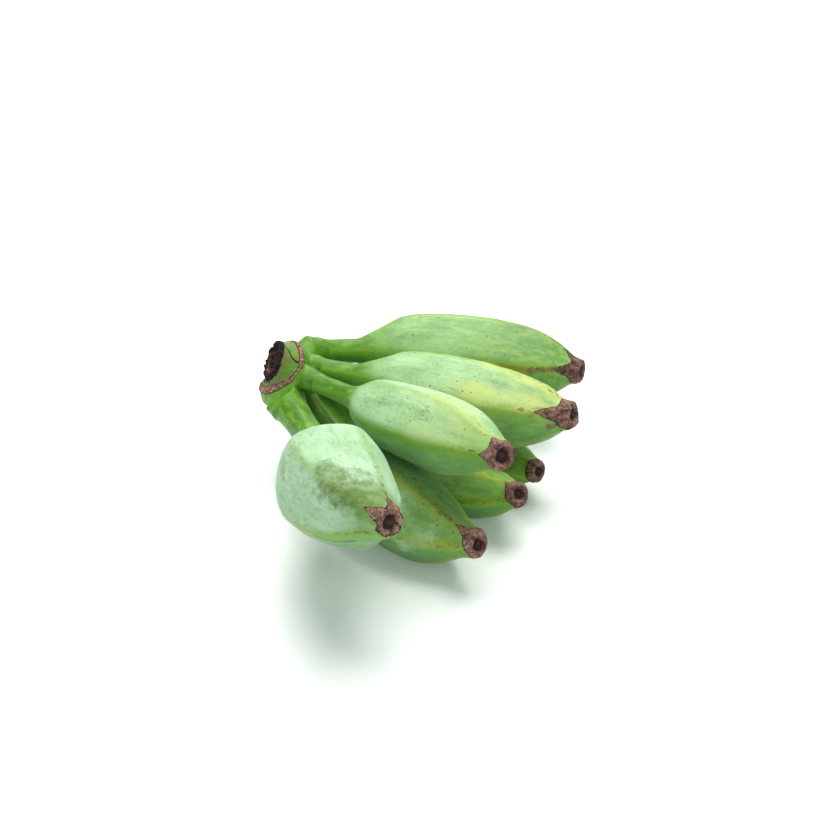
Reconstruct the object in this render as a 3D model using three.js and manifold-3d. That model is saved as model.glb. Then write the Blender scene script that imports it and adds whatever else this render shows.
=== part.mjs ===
// A hand of green cooking bananas (plantain), lying on a flat surface: one crown, cut from the
// stem of the plant, and seven fingers that grew from it in an upper and a lower row.
// Units are millimetres, +Z is up, and the surface is the plane z = 0. Positions below are from
// the point under the middle of the upper row; the finished hand is moved so that the origin is
// the middle of its underside.
import * as THREE from "three";
import { mergeVertices } from "three/addons/utils/BufferGeometryUtils.js";
import Module from "manifold-3d";

const wasm = await Module();
wasm.setup();

// The fingers. Each grows from its root on the crown along a line of the given length.
// Headings are degrees from +X round towards -Y, and pitches are degrees above the horizon; the
// four values of each are spread evenly from the root to the blossom end. The girth is the
// greatest thickness, and the stalk and end are radii. The neck and the taper say how far along
// its line the finger swells from its stalk and closes in to its blossom end, and the spread how
// gently it swells. The roll turns its ridges round it, in degrees, and the ridge says how
// strongly they stand out. Where there is a shoulder, the body starts off its stalk's line by
// that much to the side and upwards.
const FINGERS = [
  { name: "finger_upper_1", root: [-54, 32, 58], length: 150, girth: 45, stalk: 5.9, end: 6.6,
    heading: [-33, -10, 10, 28], pitch: [-11, -9, -4, 5], neck: 0.29, taper: 0.92, spread: 1.1,
    roll: 14, ridge: 0.35 },
  { name: "finger_upper_2", root: [-54, 19, 56], length: 140, girth: 41, stalk: 5.2, end: 6.6,
    heading: [7, 17, 27, 34], pitch: [-6, -9, -5, 18], neck: 0.29, taper: 0.915, spread: 1.2,
    roll: 8, ridge: 0.35 },
  { name: "finger_upper_3", root: [-54, 3, 58], length: 145, girth: 34.2, stalk: 4.6, end: 6.2,
    heading: [27.5, 46, 59, 68.4], pitch: [-9.3, 4, 14.3, 19.1], neck: 0.3, taper: 0.85,
    spread: 1.1, roll: 29, ridge: 0.45, shoulder: [-3.5, 1.5] },
  { name: "finger_upper_4", root: [-64, 1, 47], length: 159, girth: 48, stalk: 7, end: 6.8,
    heading: [55.3, 80.7, 90.6, 49.1], pitch: [-18.6, 17.6, 24.5, 10.3], neck: 0.409, taper: 0.9,
    spread: 1.2, roll: 60, ridge: 0.35 },
  { name: "finger_lower_1", root: [-54, 39, 45], length: 142, girth: 30, stalk: 4.5, end: 5.8,
    heading: [-4, 20, 40, 47], pitch: [-43, -16, 2, 10], neck: 0.31, taper: 0.92, spread: 0.8,
    roll: 42, ridge: 0.35 },
  { name: "finger_lower_2", root: [-53, 25, 45], length: 145, girth: 30, stalk: 5, end: 5.8,
    heading: [22, 35, 46, 54], pitch: [-49, -16, 9, 28], neck: 0.32, taper: 0.9, spread: 0.8,
    roll: 38, ridge: 0.45 },
  { name: "finger_lower_3", root: [-56.5, 14, 48], length: 144, girth: 40, stalk: 4.3, end: 6.2,
    heading: [51, 57, 53, 48], pitch: [-38, -17, 2, 17], neck: 0.32, taper: 0.87, spread: 1.2,
    roll: 33, ridge: 0.45 },
];

// How the fingers' common shape runs from the root (0) to the blossom end (1): the share of the
// full girth that is body, and the share of the stalk's or the blossom end's own radius.
const BODY_SHARE = [[0, 0], [0.24, 0.03], [0.29, 0.2], [0.335, 0.5], [0.39, 0.8], [0.46, 0.94],
  [0.55, 1], [0.64, 1], [0.73, 0.94], [0.81, 0.8], [0.88, 0.56], [0.93, 0.28], [0.965, 0.08], [1, 0]];
const ENDS_SHARE = [[0, 1.45], [0.06, 1.15], [0.14, 1], [0.24, 1], [0.29, 0.9], [0.335, 0.5],
  [0.39, 0.2], [0.46, 0.05], [0.55, 0], [0.64, 0], [0.73, 0], [0.81, 0.05], [0.88, 0.3],
  [0.93, 0.65], [0.965, 0.92], [1, 1]];

// How far before the neck a shoulder starts, and how far after it the body is back on its line.
const SHOULDER_REACH = [0.07, 0.3];

// Five ridges run along each finger, soft at mid-length and sharper towards the blossom end.
const RIDGES = 5;
const RIDGE_SHARE = [[0, 0.1], [0.24, 0.3], [0.4, 0.9], [0.55, 0.8], [0.7, 1], [0.85, 1.5],
  [0.95, 1], [1, 0.3]];
const MEAN_REACH = 1.07; // how far a five-sided outline reaches on average, against its flats

// The fruit's blossom end: a rounded rim round a shallow scar with a stub in its middle. Each
// pair is a distance past the end of the finger's line, and a share of the end's radius.
const BLOSSOM_END = [[1.3, 0.86], [1.7, 0.66], [0.5, 0.52], [0.5, 0.26], [1.1, 0.18]];

// The part of each finger's line that belongs to the crown, and the gap that sets the two apart.
const ROOT_SHARE = 0.07;
const JOINT_GAP = 0.3;
const STALK_ROOM = [ROOT_SHARE, 0.1, 0.14, 0.19]; // where a stalk passes its neighbours' roots

// How finely the skins are divided.
const SIDES = 20;
const STEPS = 28;
const CROWN_SIDES = 30;
const LINE_STEPS = 120;

// The crown. Its axis leans up and away from the fingers to the cut end. Each section is a
// distance along that axis from the scar ring, a radius, and how far the section tips towards the
// plane of the cut, from 0 (square to the axis) to 1.
const CROWN_AXIS = [-0.69, -0.25, 0.68];
const CUT_AXIS = [-0.82, -0.34, 0.46];
const SCAR_CENTRE = [-66, 16, 58];
const CROWN_SECTIONS = [
  { along: -17, radius: 7, tip: 0 },
  { along: -11, radius: 12, tip: 0 },
  { along: -5, radius: 13.4, tip: 0 },
  { along: -2.2, radius: 13.6, tip: 0 },
  { along: -1.6, radius: 14.8, tip: 0 },
  { along: 0.4, radius: 14.6, tip: 0 },
  { along: 1, radius: 13, tip: 0.1 },
  { along: 3.4, radius: 10.8, tip: 0.6 },
  { along: 5.2, radius: 9.2, tip: 1 },
  { along: 5.7, radius: 7.6, tip: 1 },
  { along: 4.2, radius: 5.6, tip: 1 },
  { along: 4.5, radius: 2.4, tip: 1 },
];
const CUT_ROUGHNESS = 0.7; // how far the torn edge of the cut stands in or out
const CUT_FROM = 8; // the first of the sections that the roughness reaches

// Each finger's root starts this deep inside the crown, and this share of the way out from the
// crown's axis towards the root. It is thicker than the stalk by these shares.
const ROOT_DEPTH = -10;
const ROOT_INSET = 0.35;
const ROOT_FLARE = [1.3, 1.45];

const UNDERSIDE_MIDDLE = [7.5, -35.9, 0];

const RANDOM_SEED = 11;
const RANDOM_FACTOR = 16807;
const RANDOM_RANGE = 2147483647;

// Smooth curve through [x, y] pairs with no overshoot (monotone cubic interpolation).
function smoothThrough(pairs, x) {
  const last = pairs.length - 1;
  let k = 0;
  while (k < last - 1 && x > pairs[k + 1][0]) k += 1;
  const slope = (i) => (pairs[i + 1][1] - pairs[i][1]) / (pairs[i + 1][0] - pairs[i][0]);
  const tangent = (i) => {
    if (i === 0) return slope(0);
    if (i === last) return slope(last - 1);
    const a = slope(i - 1);
    const b = slope(i);
    return a * b <= 0 ? 0 : (2 * a * b) / (a + b);
  };
  const step = pairs[k + 1][0] - pairs[k][0];
  const t = THREE.MathUtils.clamp((x - pairs[k][0]) / step, 0, 1);
  const h = t * t * (3 - 2 * t);
  return (
    pairs[k][1] * (1 - h) + pairs[k + 1][1] * h +
    tangent(k) * step * t * (1 - t) ** 2 - tangent(k + 1) * step * t * t * (1 - t)
  );
}

// Cubic Bezier value of four controls.
function bezier([a, b, c, d], t) {
  return a * (1 - t) ** 3 + 3 * b * t * (1 - t) ** 2 + 3 * c * t * t * (1 - t) + d * t ** 3;
}

function directionAt(finger, t) {
  const heading = THREE.MathUtils.degToRad(bezier(finger.heading, t));
  const pitch = THREE.MathUtils.degToRad(bezier(finger.pitch, t));
  return new THREE.Vector3(
    Math.cos(pitch) * Math.cos(heading),
    -Math.cos(pitch) * Math.sin(heading),
    Math.sin(pitch),
  );
}

// Points of the finger's line, evenly spaced, from the root to the blossom end.
function lineOf(finger) {
  const points = [new THREE.Vector3(...finger.root)];
  for (let i = 0; i < LINE_STEPS; i += 1) {
    const middle = directionAt(finger, (i + 0.5) / LINE_STEPS);
    points.push(points[i].clone().addScaledVector(middle, finger.length / LINE_STEPS));
  }
  return points;
}

function pointAt(line, t) {
  const at = THREE.MathUtils.clamp(t, 0, 1) * LINE_STEPS;
  const i = Math.min(Math.floor(at), LINE_STEPS - 1);
  return line[i].clone().lerp(line[i + 1], at - i);
}

// The side and upward directions square to a line's direction.
function squareTo(direction) {
  const side = new THREE.Vector3(0, 0, 1).cross(direction).normalize();
  return [side, new THREE.Vector3().crossVectors(direction, side)];
}

// Where a place on one finger falls on the fingers' common shape.
function commonPlace({ neck, taper, spread }, t) {
  return smoothThrough([[0, 0], [neck - 0.095 * spread, 0.24], [neck, 0.335],
    [neck + 0.125 * spread, 0.46], [0.62, 0.62], [taper, 0.89], [1, 1]], t);
}

function radiusAt(finger, t) {
  const place = commonPlace(finger, t);
  const ends = place < 0.5 ? finger.stalk : finger.end;
  return (smoothThrough(BODY_SHARE, place) * finger.girth) / 2 +
    smoothThrough(ENDS_SHARE, place) * ends;
}

// The share by which a five-sided section with softened corners stands out at an angle.
function ridgeAt(angle, strength) {
  const face = (2 * Math.PI) / RIDGES;
  const fromCorner = ((angle % face) + face) % face;
  return 1 + strength * (1 / Math.cos(fromCorner - face / 2) - MEAN_REACH);
}

// A closed solid from rings of points, with a fan at each end.
function solidFromRings(rings) {
  const sides = rings[0].length;
  const corners = rings.flat();
  const index = [];
  for (let r = 0; r + 1 < rings.length; r += 1) {
    for (let k = 0; k < sides; k += 1) {
      const a = r * sides + k;
      const b = r * sides + ((k + 1) % sides);
      index.push(a, b, b + sides, a, b + sides, a + sides);
    }
  }
  const middle = (ring) =>
    ring.reduce((sum, p) => sum.add(p), new THREE.Vector3()).divideScalar(ring.length);
  const first = corners.push(middle(rings[0])) - 1;
  const last = corners.push(middle(rings[rings.length - 1])) - 1;
  const top = (rings.length - 1) * sides;
  for (let k = 0; k < sides; k += 1) {
    const next = (k + 1) % sides;
    index.push(first, next, k, last, top + k, top + next);
  }
  const geometry = new THREE.BufferGeometry().setFromPoints(corners);
  geometry.setIndex(index);
  return geometry;
}

// The middle of the finger at a place on its line, which a shoulder moves off that line.
function middleAt(finger, line, t) {
  const [side, up] = squareTo(directionAt(finger, t));
  const [aside, above] = finger.shoulder ?? [0, 0];
  const { smoothstep } = THREE.MathUtils;
  const share = smoothstep(t, finger.neck - SHOULDER_REACH[0], finger.neck) -
    smoothstep(t, finger.neck, finger.neck + SHOULDER_REACH[1]);
  return pointAt(line, t).addScaledVector(side, aside * share).addScaledVector(up, above * share);
}

function ringAt(finger, centre, direction, radius, strength) {
  const [side, up] = squareTo(direction);
  const roll = THREE.MathUtils.degToRad(finger.roll);
  return Array.from({ length: SIDES }, (_, k) => {
    const angle = (2 * Math.PI * k) / SIDES;
    const reach = radius * ridgeAt(angle, strength);
    const point = centre.clone()
      .addScaledVector(side, reach * Math.cos(angle + roll))
      .addScaledVector(up, reach * Math.sin(angle + roll));
    point.z = Math.max(point.z, 0); // the skin lies flat where it rests on the surface
    return point;
  });
}

// One finger: stalk, body and blossom end as one closed skin.
function fingerGeometry(finger) {
  const line = lineOf(finger);
  const start = ROOT_SHARE + JOINT_GAP / finger.length;
  const rings = [];
  for (let i = 0; i <= STEPS; i += 1) {
    const t = start + ((1 - start) * i) / STEPS;
    const strength = finger.ridge * smoothThrough(RIDGE_SHARE, t);
    const middle = middleAt(finger, line, t);
    rings.push(ringAt(finger, middle, directionAt(finger, t), radiusAt(finger, t), strength));
  }
  const direction = directionAt(finger, 1);
  for (const [past, share] of BLOSSOM_END) {
    const centre = pointAt(line, 1).addScaledVector(direction, past);
    rings.push(ringAt(finger, centre, direction, finger.end * share, 0));
  }
  return solidFromRings(rings);
}

// The root of a finger's stalk, which is part of the crown: from inside the crown to the joint.
function rootGeometry(finger) {
  const line = lineOf(finger);
  const axis = new THREE.Vector3(...CROWN_AXIS).normalize();
  const scar = new THREE.Vector3(...SCAR_CENTRE);
  const outward = line[0].clone().sub(scar).projectOnPlane(axis);
  const inside = scar.addScaledVector(axis, ROOT_DEPTH).addScaledVector(outward, ROOT_INSET);
  const centres = [inside, inside.clone().lerp(line[0], 0.5)];
  const radii = ROOT_FLARE.map((share) => share * finger.stalk);
  for (const t of [0, ROOT_SHARE / 2, ROOT_SHARE]) {
    centres.push(pointAt(line, t));
    radii.push(radiusAt(finger, t));
  }
  const last = centres.length - 1;
  return solidFromRings(centres.map((centre, i) => {
    const direction = i === last
      ? directionAt(finger, ROOT_SHARE)
      : centres[i + 1].clone().sub(centres[Math.max(i - 1, 0)]).normalize();
    return ringAt(finger, centre, direction, radii[i], 0);
  }));
}

// The room that a stalk needs beside the roots of its neighbours.
function stalkRoomGeometry(finger) {
  const line = lineOf(finger);
  return solidFromRings(STALK_ROOM.map((t) =>
    ringAt(finger, pointAt(line, t), directionAt(finger, t), radiusAt(finger, t) + JOINT_GAP, 0)));
}

// Repeatable noise from -1 to 1.
function seededNoise(seed) {
  let state = seed;
  return () => {
    state = (state * RANDOM_FACTOR) % RANDOM_RANGE;
    return (state / RANDOM_RANGE) * 2 - 1;
  };
}

// The crown's own body, from where the roots meet to the rough cut end.
function crownBodyGeometry() {
  const noise = seededNoise(RANDOM_SEED);
  const axis = new THREE.Vector3(...CROWN_AXIS).normalize();
  const cut = new THREE.Vector3(...CUT_AXIS).normalize();
  return solidFromRings(CROWN_SECTIONS.map(({ along, radius, tip }, i) => {
    const centre = new THREE.Vector3(...SCAR_CENTRE).addScaledVector(axis, along);
    const [side, up] = squareTo(axis.clone().lerp(cut, tip).normalize());
    return Array.from({ length: CROWN_SIDES }, (_, k) => {
      const angle = (2 * Math.PI * k) / CROWN_SIDES;
      const rough = i >= CUT_FROM ? CUT_ROUGHNESS * noise() : 0;
      return centre.clone()
        .addScaledVector(side, (radius + rough) * Math.cos(angle))
        .addScaledVector(up, (radius + rough) * Math.sin(angle))
        .addScaledVector(axis, rough);
    });
  }));
}

// A geometry as a solid for joining, and back.
function toSolid(geometry) {
  const merged = mergeVertices(geometry, 1e-4);
  return new wasm.Manifold(new wasm.Mesh({
    numProp: 3,
    vertProperties: merged.attributes.position.array,
    triVerts: new Uint32Array(merged.index.array),
  }));
}

function toGeometry(solid) {
  const { vertProperties, triVerts, numProp } = solid.getMesh();
  const geometry = new THREE.BufferGeometry();
  const count = vertProperties.length / numProp;
  const position = new Float32Array(count * 3);
  for (let i = 0; i < count; i += 1) {
    position.set(vertProperties.subarray(i * numProp, i * numProp + 3), i * 3);
  }
  geometry.setAttribute("position", new THREE.BufferAttribute(position, 3));
  geometry.setIndex(new THREE.BufferAttribute(triVerts, 1));
  return geometry;
}

function crownGeometry() {
  let solid = toSolid(crownBodyGeometry());
  for (const finger of FINGERS) solid = solid.add(toSolid(rootGeometry(finger)));
  for (const finger of FINGERS) solid = solid.subtract(toSolid(stalkRoomGeometry(finger)));
  return toGeometry(solid);
}

const SKIN = { color: 0x9cc98a, roughness: 0.55, metalness: 0 };
const STEM = { color: 0x6aa83c, roughness: 0.5, metalness: 0 };

const hand = new THREE.Group();
function addMesh(name, geometry, finish) {
  const [x, y, z] = UNDERSIDE_MIDDLE;
  geometry.translate(-x, -y, -z);
  geometry.computeVertexNormals();
  const mesh = new THREE.Mesh(geometry, new THREE.MeshStandardMaterial(finish));
  mesh.name = name;
  hand.add(mesh);
}

addMesh("crown", crownGeometry(), STEM);
for (const finger of FINGERS) addMesh(finger.name, fingerGeometry(finger), SKIN);

export default hand;
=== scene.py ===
"""A hand of green cooking bananas (plantain) lying on a pale floor in soft studio light.

The tables are in millimetres and degrees. Everything that reaches Blender is in metres.
"""
import math

import bpy
import numpy as np
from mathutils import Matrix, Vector, noise


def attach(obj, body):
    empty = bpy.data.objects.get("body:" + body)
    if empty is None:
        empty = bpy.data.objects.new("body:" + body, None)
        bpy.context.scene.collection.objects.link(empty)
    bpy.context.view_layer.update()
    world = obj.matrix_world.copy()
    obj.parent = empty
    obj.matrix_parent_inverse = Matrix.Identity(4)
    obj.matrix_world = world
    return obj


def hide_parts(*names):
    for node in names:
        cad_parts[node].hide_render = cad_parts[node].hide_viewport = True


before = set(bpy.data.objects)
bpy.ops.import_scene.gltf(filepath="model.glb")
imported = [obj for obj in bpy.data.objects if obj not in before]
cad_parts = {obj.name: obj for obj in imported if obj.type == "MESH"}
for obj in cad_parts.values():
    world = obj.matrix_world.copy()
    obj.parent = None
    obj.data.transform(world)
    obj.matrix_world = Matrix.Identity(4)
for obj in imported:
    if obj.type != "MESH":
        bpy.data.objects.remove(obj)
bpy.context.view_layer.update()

MM = 0.001

# The fingers, with the same driving values as the solids: where the stalk's root is, the length
# along the finger's line, the greatest thickness (girth), the radii of the stalk and the end, the
# headings and pitches along the line, and where it swells, closes in and carries its ridges.
FINGERS = [
    dict(name="finger_upper_1", root=(-54, 32, 58), length=150, girth=45, stalk=5.9, end=6.6,
         heading=(-33, -10, 10, 28), pitch=(-11, -9, -4, 5), neck=0.29, taper=0.92, spread=1.1,
         roll=14, ridge=0.35),
    dict(name="finger_upper_2", root=(-54, 19, 56), length=140, girth=41, stalk=5.2, end=6.6,
         heading=(7, 17, 27, 34), pitch=(-6, -9, -5, 18), neck=0.29, taper=0.915, spread=1.2,
         roll=8, ridge=0.35),
    dict(name="finger_upper_3", root=(-54, 3, 58), length=145, girth=34.2, stalk=4.6, end=6.2,
         heading=(27.5, 46, 59, 68.4), pitch=(-9.3, 4, 14.3, 19.1), neck=0.3, taper=0.85,
         spread=1.1, roll=29, ridge=0.45, shoulder=(-3.5, 1.5)),
    dict(name="finger_upper_4", root=(-64, 1, 47), length=159, girth=48, stalk=7, end=6.8,
         heading=(55.3, 80.7, 90.6, 49.1), pitch=(-18.6, 17.6, 24.5, 10.3), neck=0.409, taper=0.9,
         spread=1.2, roll=60, ridge=0.35),
    dict(name="finger_lower_1", root=(-54, 39, 45), length=142, girth=30, stalk=4.5, end=5.8,
         heading=(-4, 20, 40, 47), pitch=(-43, -16, 2, 10), neck=0.31, taper=0.92, spread=0.8,
         roll=42, ridge=0.35),
    dict(name="finger_lower_2", root=(-53, 25, 45), length=145, girth=30, stalk=5, end=5.8,
         heading=(22, 35, 46, 54), pitch=(-49, -16, 9, 28), neck=0.32, taper=0.9, spread=0.8,
         roll=38, ridge=0.45),
    dict(name="finger_lower_3", root=(-56.5, 14, 48), length=144, girth=40, stalk=4.3, end=6.2,
         heading=(51, 57, 53, 48), pitch=(-38, -17, 2, 17), neck=0.32, taper=0.87, spread=1.2,
         roll=33, ridge=0.45),
]
# How the fingers' common shape runs from the root (0) to the blossom end (1): the share of the
# girth that is body, and the share of the stalk's or the end's own radius.
BODY_SHARE = [(0, 0), (0.24, 0.03), (0.29, 0.2), (0.335, 0.5), (0.39, 0.8), (0.46, 0.94),
              (0.55, 1), (0.64, 1), (0.73, 0.94), (0.81, 0.8), (0.88, 0.56), (0.93, 0.28),
              (0.965, 0.08), (1, 0)]
ENDS_SHARE = [(0, 1.45), (0.06, 1.15), (0.14, 1), (0.24, 1), (0.29, 0.9), (0.335, 0.5),
              (0.39, 0.2), (0.46, 0.05), (0.55, 0), (0.64, 0), (0.73, 0), (0.81, 0.05),
              (0.88, 0.3), (0.93, 0.65), (0.965, 0.92), (1, 1)]
SHOULDER_REACH = (0.07, 0.3)  # how far before and after the neck a shoulder reaches
RIDGES = 5
# How strongly the ridges stand out along the common shape.
RIDGE_SHARE = [(0, 0.1), (0.24, 0.3), (0.4, 0.9), (0.55, 0.8), (0.7, 1), (0.85, 1.5),
               (0.95, 1), (1, 0.3)]
MEAN_REACH = 1.07  # how far a five-sided outline reaches on average, against its flats
RIDGE_ROUNDING = 0.1  # radians to either side of a ridge's crest
ROOT_SHARE = 0.07  # the part of each finger's line that belongs to the crown
SKIN_OVERLAP = 0.015  # how much of that part the finger's skin reaches into, inside the root
# The middle of the underside, which is the origin of the finished hand.
UNDERSIDE_MIDDLE = np.array((7.5, -35.9, 0.0))

# The crown's axis, the direction that the cut faces, and the middle of the scar ring.
CROWN_AXIS = np.array((-0.69, -0.25, 0.68))
CUT_AXIS = np.array((-0.84, -0.25, 0.48))
SCAR_CENTRE = np.array((-66.0, 16.0, 58.0))

# How finely the skins are divided.
SIDES = 100
STEPS = 210
LINE_STEPS = 480

# The blossom end past the finger's line: (distance along it, share of the end's radius).
BLOSSOM_END = [(0.7, 0.985), (1.2, 0.94), (1.6, 0.87), (1.85, 0.79), (1.95, 0.7), (1.9, 0.62),
               (1.6, 0.54), (0.9, 0.48), (0.45, 0.42), (0.4, 0.34), (0.6, 0.27), (1.15, 0.2),
               (1.35, 0.1)]
DISC_SHARE = 0.5  # the dark scar is inside this share of the end's radius

# Relief of the fingers' skins: (height, size of its features), in mm.
WAVES = (0.4, 17)
RIPPLES = (0.1, 5)
CORK_WRINKLES = (0.22, 1.6)
END_GNARLS = (0.7, 5)
END_BUMPS = (0.45, 3.5)
CORK_LIP = 0.18
SEED_SHARE = 0.37  # of a finger's length, as the seed of its relief

# How far back the corky cap reaches from the blossom end, in mm: at the ridge on the roll
# angle, at the middle of the face after it, at the next ridge, and so on round the finger.
CORK = {
    "finger_upper_1": (3, 1.5, 8, 3, 10.5, 3, 1.5, 1, 1.5, 1.5),
    "finger_upper_2": (3, 2.5, 3.5, 3, 12.5, 4, 1, 0.5, 2, 1.5),
    "finger_upper_3": (0.8, 0, 4, 1.2, 6, 1.4, 1, 0, 0.5, -0.3),
    "finger_upper_4": (4.5, -0.6, 5.5, -0.6, -0.8, -1.4, -1.4, -1.4, -0.4, -1),
    "finger_lower_1": (2, 1.5, 2.5, 2, 2, 1.5, 0.5, 0, 0.5, 1),
    "finger_lower_2": (2.5, 1.5, 3.5, 1.5, 1.5, 0.5, 0, 0, 0.5, 0.5),
    "finger_lower_3": (1.5, 1.5, 9, 2, 1, 0.5, 0.5, 0, 0.5, 0.5),
}
CORK_POINTING = 1.7  # how sharply the cork narrows to a point along a ridge

# How each finger's skin looks: how much pale bloom covers it, from which place along it the
# bloom thins out towards the tip, how bluish it is, how much of it lies under the front ridge,
# how much yellow shows on the upper faces (partly real yellowing, partly a painted highlight),
# how dark the green is, how golden and specked the ridges are, and how dark the cork has dried.
LOOKS = {
    "finger_upper_1": dict(bloom=0.6, fade=0.42, cool=0, under=0.4, yellow=0.12, depth=0.35,
                           worn=0.2, dried=0.45),
    "finger_upper_2": dict(bloom=0.85, fade=0.65, cool=0.2, under=0.5, yellow=0.85, depth=0.3,
                           worn=0.3, dried=0.3),
    "finger_upper_3": dict(bloom=1.0, fade=0.8, cool=0.3, under=0.5, yellow=0.4, depth=0.3,
                           worn=0.3, dried=0.2),
    "finger_upper_4": dict(bloom=1.0, fade=0.9, cool=0.8, under=0.95, yellow=0.1, depth=0.3,
                           worn=0.1, dried=0),
    "finger_lower_1": dict(bloom=0.2, fade=0.5, cool=0, under=0.5, yellow=0.1, depth=0.6,
                           worn=0.5, dried=0.4),
    "finger_lower_2": dict(bloom=0.35, fade=0.5, cool=0.2, under=0.6, yellow=0.1, depth=0.7,
                           worn=0.7, dried=0.4),
    "finger_lower_3": dict(bloom=0.5, fade=0.7, cool=0.3, under=0.9, yellow=0.15, depth=0.6,
                           worn=0.9, dried=0.1),
}
FRONT_RIDGE = 2  # counted from the roll angle; the skin is freshest green just under it

# Rubs and scratches: finger, from where to where (mm), reach (mm), colour's name, strength.
MARKS = [
    ("finger_upper_4", (-41, -88, 80), (-20, -103, 76.5), 10, "olive", 0.8),
    ("finger_upper_4", (-35, -97, 77), (-22, -103, 74), 7, "olive", 0.8),
    ("finger_upper_4", (-45.1, -93.7, 55.3), (-36.7, -99.8, 56.7), 1.1, "cork", 0.9),
    ("finger_upper_4", (-36.7, -99.8, 56.7), (-29, -103.5, 59.5), 1.1, "cork", 0.9),
    ("finger_upper_4", (-61, -57, 66), (-57, -66, 64), 4, "olive", 0.4),
    ("finger_upper_2", (55.9, 0.6, 50.6), (61.5, 0.2, 52.5), 1.9, "cork", 0.95),
    ("finger_upper_2", (30, 32, 66), (44, 22, 68), 3, "olive", 0.3),
    ("finger_upper_1", (38, 86, 66), (52, 82, 65), 2.2, "olive", 0.6),
    ("finger_upper_1", (5, 77, 75), (14, 80, 74), 3, "olive", 0.4),
    ("finger_upper_1", (38.4, 64.4, 52.9), (53.8, 62.8, 49.6), 1.7, "rust", 0.65),
    ("finger_upper_1", (54, 62.8, 49.6), (67, 64.8, 50), 2.2, "cork", 0.9),
    ("finger_lower_3", (6, -34, 36), (12, -42, 34), 3, "olive", 0.6),
    ("finger_lower_3", (-12.5, -35.4, 33.5), (-10.3, -46, 17), 5.5, "mint", 0.45),
    ("finger_lower_3", (-10.3, -46, 17), (0.4, -51.2, 25.9), 5.5, "mint", 0.3),
    ("finger_lower_3", (-4, -35, 36.5), (9.2, -49.3, 32.4), 1.5, "olive", 0.8),
    ("finger_lower_3", (8, -55, 24), (13, -57.6, 27), 2.6, "olive", 0.7),
]


def smooth_through(pairs, x):
    """Smooth curve through (x, y) pairs with no overshoot (monotone cubic)."""
    xs, ys = np.array(pairs, float).T
    x = np.asarray(x, float)
    slopes = np.diff(ys) / np.diff(xs)
    before, after = slopes[:-1], slopes[1:]
    same_way = before * after > 0
    total = np.where(same_way, before + after, 1)
    inner = np.where(same_way, 2 * before * after / total, 0)
    tangents = np.concatenate(([slopes[0]], inner, [slopes[-1]]))
    k = np.searchsorted(xs[1:-1], x, side="left")
    step = xs[k + 1] - xs[k]
    t = np.clip((x - xs[k]) / step, 0, 1)
    h = t * t * (3 - 2 * t)
    bend = tangents[k] * t * (1 - t) ** 2 - tangents[k + 1] * t * t * (1 - t)
    return ys[k] * (1 - h) + ys[k + 1] * h + bend * step


def bezier(controls, t):
    """Cubic Bezier value of four controls."""
    a, b, c, d = controls
    return a * (1 - t) ** 3 + 3 * b * t * (1 - t) ** 2 + 3 * c * t * t * (1 - t) + d * t ** 3


def unit(vectors):
    """The vectors at length 1."""
    return vectors / np.linalg.norm(vectors, axis=-1, keepdims=True)


def ease(low, high, x):
    """0 below low, 1 above high, and smooth between."""
    t = np.clip((x - low) / (high - low), 0, 1)
    return t * t * (3 - 2 * t)


def direction_at(finger, t):
    """Directions of the finger's line at shares t of its length."""
    heading = np.radians(bezier(finger["heading"], t))
    pitch = np.radians(bezier(finger["pitch"], t))
    return np.stack((np.cos(pitch) * np.cos(heading), -np.cos(pitch) * np.sin(heading),
                     np.sin(pitch)), axis=-1)


def points_at(finger, t):
    """Points of the finger's line at shares t of its length."""
    middles = (np.arange(LINE_STEPS) + 0.5) / LINE_STEPS
    moves = direction_at(finger, middles) * finger["length"] / LINE_STEPS
    line = np.vstack(((0, 0, 0), np.cumsum(moves, axis=0))) + finger["root"]
    at = np.clip(t, 0, 1) * LINE_STEPS
    low = np.minimum(at.astype(int), LINE_STEPS - 1)
    share = (at - low)[:, None]
    return line[low] * (1 - share) + line[low + 1] * share


def middles_at(finger, t):
    """The middle of the finger at shares t, which a shoulder moves off its line."""
    side, up = square_to(direction_at(finger, t))
    aside, above = finger.get("shoulder", (0, 0))
    neck = finger["neck"]
    share = ease(neck - SHOULDER_REACH[0], neck, t) - ease(neck, neck + SHOULDER_REACH[1], t)
    return points_at(finger, t) + (side * aside + up * above) * share[:, None]


def common_place(finger, t):
    """Where a place on one finger falls on the fingers' common shape."""
    neck, taper, spread = finger["neck"], finger["taper"], finger["spread"]
    return smooth_through([(0, 0), (neck - 0.095 * spread, 0.24), (neck, 0.335),
                           (neck + 0.125 * spread, 0.46), (0.62, 0.62), (taper, 0.89), (1, 1)], t)


def radius_at(finger, t):
    """The finger's radius at shares t, before its ridges."""
    place = common_place(finger, t)
    ends = np.where(place < 0.5, finger["stalk"], finger["end"])
    return (smooth_through(BODY_SHARE, place) * finger["girth"] / 2
            + smooth_through(ENDS_SHARE, place) * ends)


def from_ridge(angle):
    """The angle to the nearest ridge, in radians."""
    face = 2 * math.pi / RIDGES
    return np.abs((angle + face / 2) % face - face / 2)


def ridge_at(angle):
    """How far a five-sided outline with rounded corners reaches, against its mean."""
    rounded = np.sqrt(from_ridge(angle) ** 2 + RIDGE_ROUNDING ** 2) - RIDGE_ROUNDING / 2
    return 1 / np.cos(np.maximum(math.pi / RIDGES - rounded, 0)) - MEAN_REACH


def square_to(directions):
    """The level sideways and the upward direction square to each."""
    side = unit(np.cross((0, 0, 1), directions))
    return side, np.cross(directions, side)


def noise_at(points, size, seed=0.0):
    """Smooth noise from about -1 to 1 that varies over the given size."""
    shift = Vector((seed, seed * 1.7, seed * 0.6))
    flat = points.reshape(-1, 3) / size
    values = np.array([noise.noise(Vector(p) + shift) for p in flat.tolist()])
    return values.reshape(points.shape[:-1])


def relief_at(points, relief, seed=0.0):
    """Smooth noise of a (height, size) in mm."""
    height, size = relief
    return height * noise_at(points, size, seed)


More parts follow.
